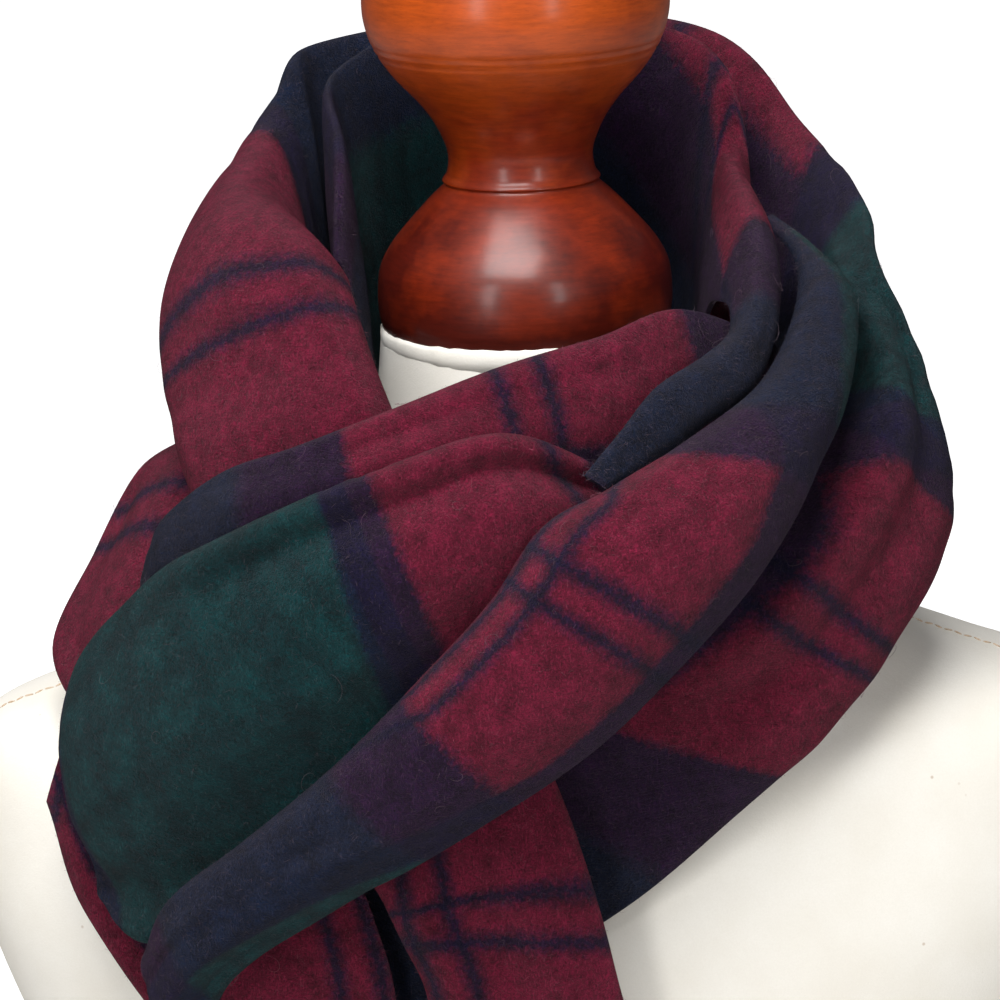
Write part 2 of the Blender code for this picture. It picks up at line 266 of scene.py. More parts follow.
def new_object(name: str, mesh: bpy.types.Mesh, material: bpy.types.Material) -> bpy.types.Object:
    """Puts a mesh in the scene, shaded smooth, with its material."""
    mesh.materials.append(material)
    mesh.shade_smooth()
    made = bpy.data.objects.new(name, mesh)
    bpy.context.scene.collection.objects.link(made)
    return made


def mesh_from(maker: bmesh.types.BMesh, name: str) -> bpy.types.Mesh:
    """The mesh that a mesh maker holds; the maker is freed."""
    mesh = bpy.data.meshes.new(name)
    maker.to_mesh(mesh)
    maker.free()
    return mesh


def woven_mesh(name: str, vertices: np.ndarray, faces: np.ndarray, places: np.ndarray) -> bpy.types.Mesh:
    """A mesh that carries its place in the check.

    Args:
        name: The mesh's name.
        vertices: Points in millimetres, one a row.
        faces: Vertex numbers, four a row.
        places: Metres across and along the check, one row for each vertex.

    Returns:
        The mesh.
    """
    mesh = bpy.data.meshes.new(name)
    mesh.from_pydata((vertices * MM).tolist(), [], faces.tolist())
    layer = mesh.uv_layers.new(name=WEAVE_MAP)
    layer.data.foreach_set("uv", places[faces.ravel()].astype(np.float32).ravel())
    return mesh


class Nodes:
    """A short way to lay out a node tree."""

    def __init__(self, tree: bpy.types.NodeTree) -> None:
        """Keeps the tree."""
        self.tree = tree

    def add(self, kind: str, settings: dict | None = None, **values: object) -> bpy.types.Node:
        """Adds a node.

        Args:
            kind: The node's type, without its prefix.
            settings: Attributes of the node.
            values: Socket values or links, by socket name with _ for a space.

        Returns:
            The node.
        """
        node = self.tree.nodes.new("ShaderNode" + kind)
        for key, value in (settings or {}).items():
            setattr(node, key, value)
        self.fill(node, **values)
        return node

    def fill(self, node: bpy.types.Node, **values: object) -> None:
        """Links or sets a node's sockets, by name with _ for a space."""
        for key, value in values.items():
            self.put(node.inputs[key.replace("_", " ")], value)

    def put(self, socket: bpy.types.NodeSocket, value: object) -> None:
        """Links or sets a socket."""
        if isinstance(value, bpy.types.NodeSocket):
            self.tree.links.new(value, socket)
        else:
            socket.default_value = value

    def math(self, operation: str, *values: object, kind: str = "Math") -> bpy.types.NodeSocket:
        """A Math or VectorMath node's result, from its sockets in order; None leaves one alone."""
        node = self.add(kind, {"operation": operation})
        for socket, value in zip(node.inputs, values):
            if value is not None:
                self.put(socket, value)
        return node.outputs[0]

    def scaled(self, vector: object, factor: object) -> bpy.types.NodeSocket:
        """A vector or colour times a factor."""
        return self.math("SCALE", vector, None, None, factor, kind="VectorMath")

    def bump(self, height: object, strength: float, distance: float) -> bpy.types.NodeSocket:
        """The normal over a height."""
        return self.add("Bump", None, Height=height, Strength=strength, Distance=distance).outputs[0]

    def mix(self, factor: object, first: object, second: object, blend: str = "MIX") -> bpy.types.NodeSocket:
        """The mixed colour of two."""
        node = self.add("Mix", {"data_type": "RGBA", "blend_type": blend})
        for index, value in ((0, factor), (6, first), (7, second)):
            self.put(node.inputs[index], value)
        return node.outputs[2]

    def noise(self, vector: object, scale: float, detail: float = 2.0,
              rough: float = 0.5) -> bpy.types.NodeSocket:
        """A noise texture's value."""
        node = self.add("TexNoise", None, Vector=vector, Scale=scale, Detail=detail, Roughness=rough)
        return node.outputs[0]

    def remap(self, value: object, low: float, high: float, to_low: float = 0.0,
              to_high: float = 1.0) -> bpy.types.NodeSocket:
        """A value mapped from one range to another and held there."""
        node = self.add("MapRange", None, Value=value)
        for index, number in ((1, low), (2, high), (3, to_low), (4, to_high)):
            node.inputs[index].default_value = number
        return node.outputs[0]

    def ramp(self, value: object, stops: list[tuple[float, Colour]]) -> bpy.types.NodeSocket:
        """A colour ramp's result."""
        node = self.add("ValToRGB", None, Fac=value)
        while len(node.color_ramp.elements) < len(stops):
            node.color_ramp.elements.new(1.0)
        for element, (place, colour) in zip(node.color_ramp.elements, stops):
            element.position = place
            element.color = (*colour, 1)
        return node.outputs[0]


def new_material(name: str) -> tuple[bpy.types.Material, Nodes, bpy.types.Node]:
    """A material, with its layout helper and its main shader."""
    made = bpy.data.materials.new(name)
    made.use_nodes = True
    return made, Nodes(made.node_tree), made.node_tree.nodes["Principled BSDF"]


def new_group(name: str, inputs: dict[str, str], outputs: dict[str, str]) -> tuple[bpy.types.NodeTree, Nodes]:
    """A shader node group with named sockets.

    Args:
        name: The group's name.
        inputs: Socket kinds by input name.
        outputs: Socket kinds by output name.

    Returns:
        The group and its layout helper.
    """
    group = bpy.data.node_groups.new(name, "ShaderNodeTree")
    for way, sockets in (("INPUT", inputs), ("OUTPUT", outputs)):
        for label, kind in sockets.items():
            group.interface.new_socket(name=label, in_out=way, socket_type="NodeSocket" + kind)
    return group, Nodes(group)


@dataclass(frozen=True)
class CheckYarns:
    """The yarns of the check and how wide their stripes are, in millimetres from a wine block's middle."""

    wine: Colour = (0.136, 0.0066, 0.026)
    navy: Colour = (0.0056, 0.0040, 0.024)
    green: Colour = (0.0008, 0.032, 0.035)
    dark_green: Colour = (0.0005, 0.018, 0.021)
    loose_hair: Colour = (0.40, 0.27, 0.30)
    pair_inner: float = 4.6
    pair_outer: float = 11.4
    wine_half: float = 70.0
    green_from: float = 103.0
    dark_lines: tuple[tuple[float, float], ...] = ((122.0, 128.0), (140.0, 145.0))
    soft: float = 2.6
    wander: float = 7.5
    twill_turn: float = 4200.0

    def stops(self) -> list[tuple[float, Colour]]:
        """The ramp's stops from a wine block's middle to a green block's middle."""
        edges = [
            (self.pair_inner, self.wine, self.navy), (self.pair_outer, self.navy, self.wine),
            (self.wine_half, self.wine, self.navy), (self.green_from, self.navy, self.green),
        ]
        for start, end in self.dark_lines:
            edges += [(start, self.green, self.dark_green), (end, self.dark_green, self.green)]
        found = [(0.0, self.wine)]
        for place, before, after in edges:
            found.append(((place - self.soft) / (REPEAT / 2), before))
            found.append(((place + self.soft) / (REPEAT / 2), after))
        return found

    def crossed(self, nodes: Nodes, weave: object, place: object) -> bpy.types.NodeSocket:
        """The colour of warp over weft, before the nap's light and shade.

        Args:
            nodes: The group's layout helper.
            weave: Metres across and along the check.
            place: The point on the object.

        Returns:
            The colour.
        """
        wander = nodes.add("TexNoise", None, Vector=place, Scale=520.0, Detail=3.0)
        reach = self.wander * MM
        shifted = nodes.math("MULTIPLY_ADD", wander.outputs[1], (reach, reach, 0), weave, kind="VectorMath")
        split = nodes.add("SeparateXYZ", None, Vector=shifted)
        start = 0.5 - self.wander / 2 / REPEAT
        yarns = []
        for axis in (0, 1):
            turns = nodes.math("MULTIPLY_ADD", split.outputs[axis], 1 / (REPEAT * MM), start)
            folded = nodes.math("ABSOLUTE", nodes.math("SUBTRACT", nodes.math("FRACT", turns), 0.5))
            yarns.append(nodes.ramp(nodes.math("MULTIPLY", folded, 2.0), self.stops()))
        mottle = nodes.remap(nodes.noise(place, 1100.0, 4.0, 0.7), 0.3, 0.7, 0.25, 0.75)
        darker = nodes.mix(1.0, *yarns, "DARKEN")
        product = nodes.mix(1.0, *yarns, "MULTIPLY")
        return nodes.mix(mottle, darker, nodes.add("Gamma", None, Color=product, Gamma=0.5).outputs[0])

    def group(self) -> bpy.types.NodeTree:
        """The shader group that colours the cloth from its place across and along the weave, with painted
        highlights of loose hairs catching the light.
        """
        group, nodes = new_group("wool_check", {"Weave": "Vector", "Place": "Vector", "Paleness": "Float"},
                                 {"Color": "Color", "Height": "Float"})
        weave, place, pale = group.nodes.new("NodeGroupInput").outputs[:3]
        cloth = self.crossed(nodes, weave, place)
        broad = nodes.remap(nodes.noise(place, 150.0, 5.0, 0.62), 0.3, 0.72, 0.55, 1.36)
        curled = nodes.add("TexNoise", None, Vector=place, Scale=620.0, Detail=4.0, Roughness=0.7,
                           Distortion=2.2)
        fine = nodes.remap(curled.outputs[0], 0.30, 0.72, 0.32, 1.72)
        shade = nodes.scaled(cloth, nodes.math("MULTIPLY", broad, fine))
        # Painted highlight: streaks of a paler cloth colour stand for loose hairs catching the light, mixed
        # over the mottled cloth.
        hair_highlight_colour = nodes.math("MULTIPLY_ADD", cloth, (2.2, 2.2, 2.2), (0.020, 0.012, 0.015), kind="VectorMath")
        stretched = nodes.add("Mapping", None, Vector=place, Scale=(1.0, 1.0, 0.30), Rotation=(0.3, 0.5, 0.2))
        hairs = nodes.remap(nodes.noise(stretched.outputs[0], 1500.0, 3.0, 0.6), 0.56, 0.72)
        hairs_two = nodes.remap(nodes.noise(place, 760.0, 6.0, 0.85), 0.58, 0.80)
        hair_highlight_mask = nodes.math("MULTIPLY", nodes.math("MAXIMUM", hairs, hairs_two), 0.55)
        rib = nodes.add("SeparateXYZ", None, Vector=weave)
        slant = nodes.math("ADD", rib.outputs[0], rib.outputs[1])
        twill = nodes.math("SINE", nodes.math("MULTIPLY", slant, self.twill_turn))
        felt = nodes.math("ADD", fine, nodes.math("MULTIPLY", broad, 0.8))
        out = group.nodes.new("NodeGroupOutput")
        nodes.fill(out, Color=nodes.mix(pale, nodes.mix(hair_highlight_mask, shade, hair_highlight_colour), (*self.loose_hair, 1)),
                   Height=nodes.math("MULTIPLY_ADD", twill, 0.08, felt))
        return group


@dataclass(frozen=True)
class WoolFinish:
    """Brushed wool in the check."""

    name: str
    group: bpy.types.NodeTree
    paleness: float = 0.0
    sheen: float = 0.06
    bump: float = 0.85

    def material(self) -> bpy.types.Material:
        """The wool's material."""
        made, nodes, shader = new_material(self.name)
        place = nodes.add("TexCoord").outputs["Object"]
        weave = nodes.add("UVMap", {"uv_map": WEAVE_MAP}).outputs[0]
        cloth = nodes.add("Group", {"node_tree": self.group}, Weave=weave, Place=place,
                          Paleness=self.paleness)
        nodes.fill(shader, Base_Color=cloth.outputs["Color"], Roughness=0.96, Specular_IOR_Level=0.12,
                   Normal=nodes.bump(cloth.outputs["Height"], self.bump, 0.9 * MM), Sheen_Weight=self.sheen,
                   Sheen_Roughness=0.45, Sheen_Tint=(0.85, 0.72, 0.78, 1))
        return made


@dataclass(frozen=True)
class JerseyFinish:
    """The form's cream jersey, with fine brown flecks."""

    name: str = "cream_jersey"
    cream: Colour = (0.86, 0.83, 0.765)
    shade: Colour = (0.80, 0.76, 0.68)
    knit_shade: Colour = (0.70, 0.66, 0.58)
    fleck: Colour = (0.40, 0.27, 0.16)

    def material(self) -> bpy.types.Material:
        """The jersey's material."""
        made, nodes, shader = new_material(self.name)
        place = nodes.add("TexCoord").outputs["Object"]
        broad = nodes.remap(nodes.noise(place, 22.0, 4.0), 0.35, 0.68)
        base = nodes.mix(broad, (*self.cream, 1), (*self.shade, 1))
        cells = nodes.add("TexVoronoi", None, Vector=place, Scale=150.0)
        speck = nodes.remap(cells.outputs["Distance"], 0.05, 0.11, 1.0, 0.0)
        chance = nodes.remap(nodes.noise(place, 60.0, 1.0), 0.62, 0.70)
        flecks = nodes.math("MULTIPLY", nodes.math("MULTIPLY", speck, chance), 0.55)
        knit = nodes.noise(place, 1500.0, 3.0, 0.6)
        toned = nodes.mix(nodes.remap(knit, 0.3, 0.7, 0.0, 0.22), base, (*self.knit_shade, 1))
        height = nodes.math("ADD", knit, nodes.math("MULTIPLY", nodes.noise(place, 420.0, 3.0), 0.8))
        nodes.fill(shader, Base_Color=nodes.mix(flecks, toned, (*self.fleck, 1)), Roughness=0.9,
                   Normal=nodes.bump(height, 0.22, 0.4 * MM), Specular_IOR_Level=0.2, Sheen_Weight=0.12)
        return made


@dataclass(frozen=True)
class VarnishFinish:
    """Stained and varnished turned wood: orange above, dark red-brown towards the foot."""

    name: str = "varnished_wood"
    orange: Colour = (0.40, 0.058, 0.003)
    red: Colour = (0.19, 0.016, 0.002)
    dark: Colour = (0.070, 0.005, 0.0015)
    dark_below: float = 640.0
    orange_above: float = 735.0
    ring_turn: float = 3600.0

    def material(self) -> bpy.types.Material:
        """The wood's material."""
        made, nodes, shader = new_material(self.name)
        place = nodes.add("TexCoord").outputs["Object"]
        tall = nodes.add("SeparateXYZ", None, Vector=place).outputs[2]
        foot = nodes.remap(tall, self.dark_below * MM, self.orange_above * MM)
        tone = nodes.math("ADD", foot, nodes.remap(nodes.noise(place, 34.0, 4.0, 0.6), 0.3, 0.7, -0.28, 0.28))
        base = nodes.ramp(tone, [(0.0, self.dark), (0.38, self.red), (1.0, self.orange)])
        flat = nodes.add("Mapping", None, Vector=place, Scale=(1.0, 1.0, 7.0)).outputs[0]
        grain = nodes.remap(nodes.noise(flat, 90.0, 5.0, 0.65), 0.35, 0.65, 0.80, 1.12)
        pores = nodes.remap(nodes.noise(flat, 420.0, 3.0, 0.6), 0.30, 0.46, 0.80, 1.0)
        rings = nodes.math("SINE", nodes.math("MULTIPLY", tall, self.ring_turn))
        height = nodes.math("MULTIPLY_ADD", rings, 0.06, nodes.noise(place, 120.0, 4.0))
        nodes.fill(shader, Base_Color=nodes.scaled(base, nodes.math("MULTIPLY", grain, pores)),
                   Normal=nodes.bump(height, 0.10, 0.6 * MM), Roughness=0.42, Specular_IOR_Level=0.28,
                   Coat_Weight=0.30, Coat_Roughness=0.20)
        return made


@dataclass(frozen=True)
class PlainFinish:
    """One material with a fine colour variation, for thread and floor."""

    name: str
    colour: Colour
    other: Colour
    scale: float
    roughness: float
    glow: float = 0.0

    def material(self) -> bpy.types.Material:
        """The material."""
        made, nodes, shader = new_material(self.name)
        place = nodes.add("TexCoord").outputs["Object"]
        blend = nodes.remap(nodes.noise(place, self.scale, 3.0), 0.35, 0.65)
        nodes.fill(shader, Base_Color=nodes.mix(blend, (*self.colour, 1), (*self.other, 1)),
                   Roughness=self.roughness, Specular_IOR_Level=0.15)
        if self.glow:
            seen = nodes.add("LightPath").outputs["Is Camera Ray"]
            nodes.fill(shader, Emission_Color=nodes.mix(seen, (0, 0, 0, 1), (1, 1, 1, 1)),
                       Emission_Strength=self.glow)
        return made


@dataclass(frozen=True)
class Surface:
    """A cloth's points, its place in the check and its directions, each by row and column."""

    points: np.ndarray
    weave: np.ndarray
    along: np.ndarray
    across: np.ndarray
    up: np.ndarray


@dataclass
class ClothStretch:
    """A stretch of the scarf: a thin shell with its folds, its check and its loose fibres."""

    name: str
    sections: list[Section]
    check: list[CheckPlace]
    flat: tuple[float, float]
    stands_for: tuple[str, ...]
    slot: str
    rests_on: tuple[str, ...]
    rows: int
    columns: int
    seed: int
    creases: list[Crease] = field(default_factory=list)
    nap: int = 2600
    curls: int = 8
    wrinkle: float = 1.0
    rim_share: float = 0.16
    face_share: float = 0.8
    nap_length: tuple[float, float] = (1.1, 3.0)
    nap_width: tuple[float, float] = (0.025, 0.045)
    curl_steps: int = 18
    curl_sides: int = 4
    curl_radius: float = 0.055
    curl_clear: float = 0.35
    curl_arch: float = 0.9
    soft_edge: float = 0.7

    def grid(self) -> tuple[np.ndarray, np.ndarray]:
        """The middle of the cloth, in millimetres.

        Returns:
            The points and the check's places in metres, by row and column.
        """
        last = len(self.sections) - 1
        places = np.linspace(0, last, self.rows + 1)
        step = 0.5 * last / len(self.sections)
        edges = {side: np.array([getattr(s, "edge_" + side) for s in self.sections], float) for side in "ab"}
        numbers = np.array([(s.crown, s.roll_a, s.roll_b) for s in self.sections], float)
        edge_a, edge_b = (curve_values(edges[side], places) for side in "ab")
        forward = sum(curve_values(edges[side], places + step) - curve_values(edges[side], places - step)
                      for side in "ab")
        half = np.linalg.norm(edge_b - edge_a, axis=1, keepdims=True) / 2
        width_way = (edge_b - edge_a) / (2 * half)
        out = unit(np.cross(forward, width_way))
        shape = curve_values(numbers, places)
        crown, roll_a, roll_b = (np.maximum(shape[:, [k]], low) for k, low in ((0, 1.0), (1, 0.0), (2, 0.0)))
        share = np.linspace(0, 1, self.columns + 1)[None, :]
        angle = np.radians(-roll_a + (180 + roll_a + roll_b) * share)[..., None]
        wide, up, tall = width_way[:, None, :], out[:, None, :], crown[:, :, None]
        lift_way = unit(-wide * np.cos(angle) / half[:, :, None] + up * np.sin(angle) / tall)
        points = (((edge_a + edge_b) / 2)[:, None, :] - wide * half[:, :, None] * np.cos(angle)
                  + up * tall * np.sin(angle))
        points = points + lift_way * self.fold_heights(places[:, None], share)[..., None]
        weave = self.weave(points, places)
        taper = (eased(np.minimum(share, 1 - share) * 9)
                 * eased(np.minimum(places, last - places)[:, None] * 2.5))
        ripple = waves(weave[..., 0] / MM, weave[..., 1] / MM, self.seed) * taper * self.wrinkle
        return points + lift_way * ripple[..., None], weave

    def fold_heights(self, places: np.ndarray, share: np.ndarray) -> np.ndarray:
        """How far the creases lift or sink the cloth.

        Args:
            places: Section numbers, one a row.
            share: Shares of the width, one a column.

        Returns:
            Millimetres, by row and column.
        """
        total = np.zeros((places.shape[0], share.shape[1]))
        for crease in self.creases:
            run = (places - crease.first) / (crease.last - crease.first)
            centre = crease.across_first + (crease.across_last - crease.across_first) * run
            fade = eased(run * 5) * eased((1 - run) * 5) * ((run > 0) & (run < 1))
            total += crease.height * fade * np.exp(-((share - centre) / crease.width) ** 2)
        return total

    def weave(self, points: np.ndarray, places: np.ndarray) -> np.ndarray:
        """Where each point lies in the check.

        Args:
            points: The cloth's points, by row and column.
            places: Section numbers, one a row.

        Returns:
            Metres across and along the check, by row and column.
        """
        steps = np.linalg.norm(np.diff(points, axis=1), axis=2)
        share = np.concatenate([np.zeros((len(points), 1)), np.cumsum(steps, axis=1)], axis=1)
        share /= share[:, -1:]
        at = [row.section for row in self.check]
        read = [np.interp(places, at, [getattr(row, key) for row in self.check])[:, None]
                for key in ("across_a", "across_b", "along_a", "along_b")]
        across = read[0] + (read[1] - read[0]) * share
        along = read[2] + (read[3] - read[2]) * share
        return np.stack([across, along], axis=2) * MM

    def build(self, wool: bpy.types.Material, fibres: bpy.types.Material) -> bpy.types.Object:
        """Args:
            wool: The shell's material.
            fibres: The fibres' material.

        Returns:
            The shell.
        """
        points, weave = self.grid()
        rows, columns = points.shape[:2]
        index = np.arange(rows * columns).reshape(rows, columns)
        corners = [index[:-1, :-1], index[1:, :-1], index[1:, 1:], index[:-1, 1:]]
        faces = np.stack(corners, axis=2).reshape(-1, 4)
        mesh = woven_mesh(self.name, points.reshape(-1, 3), faces, weave.reshape(-1, 2))
        shell = new_object(self.name, mesh, wool)
        wall = shell.modifiers.new("wall", "SOLIDIFY")
        wall.thickness = WALL * MM
        wall.offset = 0
        soft = shell.modifiers.new("soft_edges", "BEVEL")
        soft.width = self.soft_edge * MM
        soft.segments = 2
        soft.limit_method = "ANGLE"
        soft.angle_limit = math.radians(65)
        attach(shell, BODY)
        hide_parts(*self.stands_for)
        along, across = (unit(np.gradient(points, axis=axis)) for axis in (0, 1))
        cloth = Surface(points, weave, along, across, unit(np.cross(along, across)))
        pieces = [self.fibre_piece(kind, cloth, fibres) for kind in Fibre]
        LOG.info("%s: %d faces", self.name, len(faces))
        return shell

    def fibre_piece(self, kind: Fibre, cloth: Surface, material: bpy.types.Material) -> bpy.types.Object:
        """Builds one kind of the stretch's loose fibres.

        Args:
            kind: Nap or curls.
            cloth: The cloth that they stand on.
            material: The fibres' material.

        Returns:
            The piece.
        """
        draw = np.random.default_rng(self.seed * 10 + (kind is Fibre.CURL))
        parts = self.nap_parts(draw, cloth) if kind is Fibre.NAP else self.curl_parts(draw, cloth)
        name = self.name + ("_nap" if kind is Fibre.NAP else "_curls")
        made = new_object(name, woven_mesh(name, *parts), material)
        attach(made, BODY)
        return made

    def nap_parts(self, draw: np.random.Generator, cloth: Surface) -> Parts:
        """Short bent blades standing a little off both faces and the edges.

        Args:
            draw: The random source.
            cloth: The cloth that they stand on.

        Returns:
            Vertices, faces of four, and the check's place of each vertex.
        """
        count = self.nap
        rows = draw.integers(0, cloth.points.shape[0], count)
        columns = draw.integers(0, cloth.points.shape[1], count)
        rim = draw.random(count) < self.rim_share
        columns[rim] = np.where(draw.random(rim.sum()) < 0.5, 0, cloth.points.shape[1] - 1)
        side = np.where(draw.random(count) < self.face_share, 1.0, -1.0)[:, None]
        up = cloth.up[rows, columns] * side
        outward = cloth.across[rows, columns] * np.where(columns == 0, -1.0, 1.0)[:, None]
        turn = draw.uniform(0, 2 * math.pi, (count, 1))
        flat = cloth.along[rows, columns] * np.cos(turn) + cloth.across[rows, columns] * np.sin(turn)
        lean = draw.uniform(0.15, 0.75, (count, 1))
        way = unit(flat + up * lean)
        way[rim] = unit(outward[rim] * 0.8 + flat[rim] * 0.6 + up[rim] * 0.2)
        bend = unit(way + up * draw.uniform(-0.7, 0.3, (count, 1)) + flat * 0.4)
        length = draw.uniform(*self.nap_length, (count, 1))
        width = unit(np.cross(way, up)) * draw.uniform(*self.nap_width, (count, 1))
        root = cloth.points[rows, columns] + up * (WALL / 2 - 0.1)
        middle = root + way * length * 0.55
        tip = middle + bend * length * 0.45
        vertices = np.stack([root - width, root + width, middle + width * 0.8, middle - width * 0.8,
                             tip + width * 0.2, tip - width * 0.2], axis=1).reshape(-1, 3)
        first = np.arange(count)[:, None] * 6
        faces = np.concatenate([first + [0, 1, 2, 3], first + [3, 2, 4, 5]], axis=1).reshape(-1, 4)
        return vertices, faces, np.repeat(cloth.weave[rows, columns], 6, axis=0)

    def curl_parts(self, draw: np.random.Generator, cloth: Surface) -> Parts:
        """Long loose fibres that curl over the face of the cloth.

        Args:
            draw: The random source.
            cloth: The cloth that they lie on.

        Returns:
            Vertices, faces of four, and the check's place of each vertex.
        """
        points, steps, sides = cloth.points, self.curl_steps, self.curl_sides
        vertices, faces, places = [], [], []
        for _ in range(self.curls):
            row = int(draw.integers(4, points.shape[0] - 4))
            column = int(points.shape[1] * draw.uniform(0.12, 0.88))
            u, v, up = (way[row, column] for way in (cloth.along, cloth.across, cloth.up))
            heading = draw.uniform(0, 2 * math.pi)
            turn = draw.choice([-1, 1]) * draw.uniform(0.10, 0.32)
            stride = draw.uniform(0.35, 0.75)
            nearest = points[row - 4:row + 5].reshape(-1, 3)
            flat = np.zeros(2)
            line = []
            for k in range(steps + 1):
                spot = points[row, column] + u * flat[0] + v * flat[1]
                close = nearest[np.argmin(np.linalg.norm(nearest - spot, axis=1))]
                level = float(np.dot(close - spot, up)) + WALL / 2
                height = level + self.curl_clear + self.curl_arch * math.sin(math.pi * k / steps)
                line.append(spot + up * height)
                flat += stride * np.array([math.cos(heading), math.sin(heading)])
                heading += turn * (0.6 + 0.8 * k / steps)
            forward = unit(np.gradient(np.array(line), axis=0))
            aside = unit(np.cross(forward, up))
            over = unit(np.cross(aside, forward))
            radius = self.curl_radius * (1 - 0.6 * np.abs(np.linspace(-1, 1, steps + 1)) ** 3)[:, None]
            ring = [line + radius * (aside * math.cos(a) + over * math.sin(a))
                    for a in (2 * math.pi * k / sides for k in range(sides))]
            base = len(vertices)
            vertices.extend(np.stack(ring, axis=1).reshape(-1, 3))
            places.extend([cloth.weave[row, column]] * ((steps + 1) * sides))
            for k in range(steps):
                for j in range(sides):
                    a, b = base + k * sides + j, base + k * sides + (j + 1) % sides
                    faces.append((a, b, b + sides, a + sides))
            for end in (base, base + steps * sides):
                faces.append(tuple(end + (j if end > base else sides - 1 - j) for j in range(sides)))
        return np.array(vertices), np.array(faces), np.array(places)


def outer_layer() -> ClothStretch:
    """The outer layer, from the loop's back round the nape to the tail that shows."""
    check = records(CheckPlace, [
        (0, -30, 20, -300, -300), (2, -30, 50, -240, -240), (3, 12, 95, -200, -200),
        (5.3, 13, 100, -103, -103), (6.4, 13, 96, -76, -70), (8.2, 14, 92, 31, -22), (9, 18, 90, 62, 12),
        (9.5, 22, 80, 96, 36), (10.2, 92, 84, 142, 66), (10.6, 104, 140, 165, 84),
        (11.1, 100, 210, 190, 103), (12.1, 200, 200, 215, 190), (12.65, 290, 190, 233, 233),
        (14, 290, 190, 288, 288), (16, 290, 180, 368, 368), (18, 280, 170, 455, 455),
        (19.25, 240, 200, 503, 503), (19.7, 262, 215, 536, 536), (20.3, 288, 234, 553, 556),
        (21, 289, 240, 570, 575), (22.05, 289, 240, 597, 606), (22.4, 289, 240, 606, 615),
        (24.5, 289, 240, 672, 680), (26.6, 273, 365, 839, 836), (27.8, 288, 365, 909, 892),
        (28.35, 288, 365, 928, 909), (29, 288, 367, 948, 936), (31, 278, 375, 1064, 1058),
    ])
    creases = records(Crease, [
        (0.62, 0.80, 7.0, 12.6, 4.0, 0.08), (0.50, 0.66, 6.3, 12.0, -4.0, 0.08),
        (0.78, 0.92, 6.3, 12.0, -3.0, 0.08), (0.60, 0.66, 19.4, 22.6, 1.6, 0.07),
        (0.30, 0.36, 21.1, 25.8, 2.5, 0.12), (0.30, 0.26, 27.1, 32.3, 2.6, 0.10),
        (0.66, 0.70, 28.4, 32.3, 2.2, 0.10), (0.48, 0.50, 27.6, 32.3, -2.2, 0.08),
        (0.20, 0.30, 13.0, 17.5, 2.2, 0.06), (0.70, 0.76, 9.4, 12.4, 1.4, 0.025),
        (0.30, 0.18, 14.5, 19.0, -1.8, 0.05), (0.58, 0.70, 8.0, 11.0, 1.2, 0.03),
        (0.86, 0.80, 21.0, 24.5, 1.6, 0.05), (0.62, 0.58, 22.0, 24.8, -1.2, 0.05),
    ])
    return ClothStretch(
        "scarf_outer_layer", OUTER_LAYER, check, (0.155, 1.02), ("strand_outer", "collar_outer", "tail_over"),
        "wine_wool", ("torso",), 400, 76, 11, creases, nap=9000, curls=26)


def inner_layer() -> ClothStretch:
    """The inner layer, from the knot round the nape to where it sinks under the tails."""
    # Towards edge b the check runs into its navy and green stripes, so the hollow inner face comes out dark:
    # real stripes, placed there as painted shade.
    check = records(CheckPlace, [
        (0, -18, -75, -200, -200), (1, -18, -75, -180, -180), (3, -16, -75, -135, -135),
        (4.35, -14, -75, -103, -103), (5.5, -12, -80, -70, -70), (7.45, -12, -112, 0, 0),
        (8, -12, -118, 18, 18), (10, -10, -150, 70, 70), (11, -10, -150, 103, 103),
        (14.2, -20, -150, 200, 200), (15.1, -30, -140, 233, 233), (16, -50, -130, 262, 262),
    ])
    creases = records(Crease, [
        (0.60, 0.55, 3.0, 7.0, 1.4, 0.10), (0.34, 0.42, 9.0, 13.5, 1.6, 0.06),
    ])
    return ClothStretch(
        "scarf_inner_layer", INNER_LAYER, check, (0.17, 0.47), ("strand_inner", "collar_inner"),
        "navy_wool", ("torso", "scarf_outer_layer"), 180, 52, 23, creases, nap=3600, curls=10, wrinkle=0.6)


def front_roll() -> ClothStretch:
    """The broad roll that crosses in front."""
    check = records(CheckPlace, [
        (0, 80, 130, -215, -215), (1.5, 78, 130, -172, -172), (3, 74, 128, -122, -126),
        (3.5, 62, 124, -103, -108), (4.4, 16, 116, -68, -78), (5.4, -14, 110, -36, -50),
        (6.5, -17, 106, 0, -14), (8.2, -17, 104, 68, 56), (9.0, 5, 118, 100, 88), (10, 30, 150, 146, 134),
        (11.2, 30, 170, 200, 190), (12, 30, 165, 233, 225),
    ])
    creases = records(Crease, [
        (0.55, 0.40, 2.4, 7.4, 2.0, 0.12), (0.70, 0.62, 5.4, 12.6, -2.5, 0.10),
        (0.22, 0.30, 4.0, 9.0, 1.3, 0.05), (0.46, 0.52, 8.5, 12.6, 1.6, 0.06),
        (0.36, 0.30, 9.0, 12.6, -1.4, 0.05),
    ])
    return ClothStretch("scarf_roll", ROLL, check, (0.085, 0.42), ("roll",), "wine_wool",
                        ("scarf_cowl",), 180, 56, 31, creases, nap=4600, curls=16)


def loop_band() -> ClothStretch:
    """The loop's turned-over upper edge."""
    check = records(CheckPlace, [
        (0, 14, 100, -104, -96), (1.1, 14, 100, -70, -58), (2.94, 14, 100, 0, 13), (4.55, 14, 98, 70, 80),
        (5.8, 14, 96, 103, 112), (8, 14, 90, 165, 172),
    ])
    creases = records(Crease, [
        (0.62, 0.55, 2.8, 6.4, 2.5, 0.12), (0.40, 0.46, 1.0, 5.0, -1.4, 0.06),
        (0.30, 0.36, 3.5, 8.0, 1.3, 0.05),
    ])
    return ClothStretch("scarf_band", BAND, check, (0.075, 0.30), ("band",), "wine_wool",
                        ("scarf_outer_layer",), 120, 44, 41, creases, nap=2200, curls=8, wrinkle=0.8)


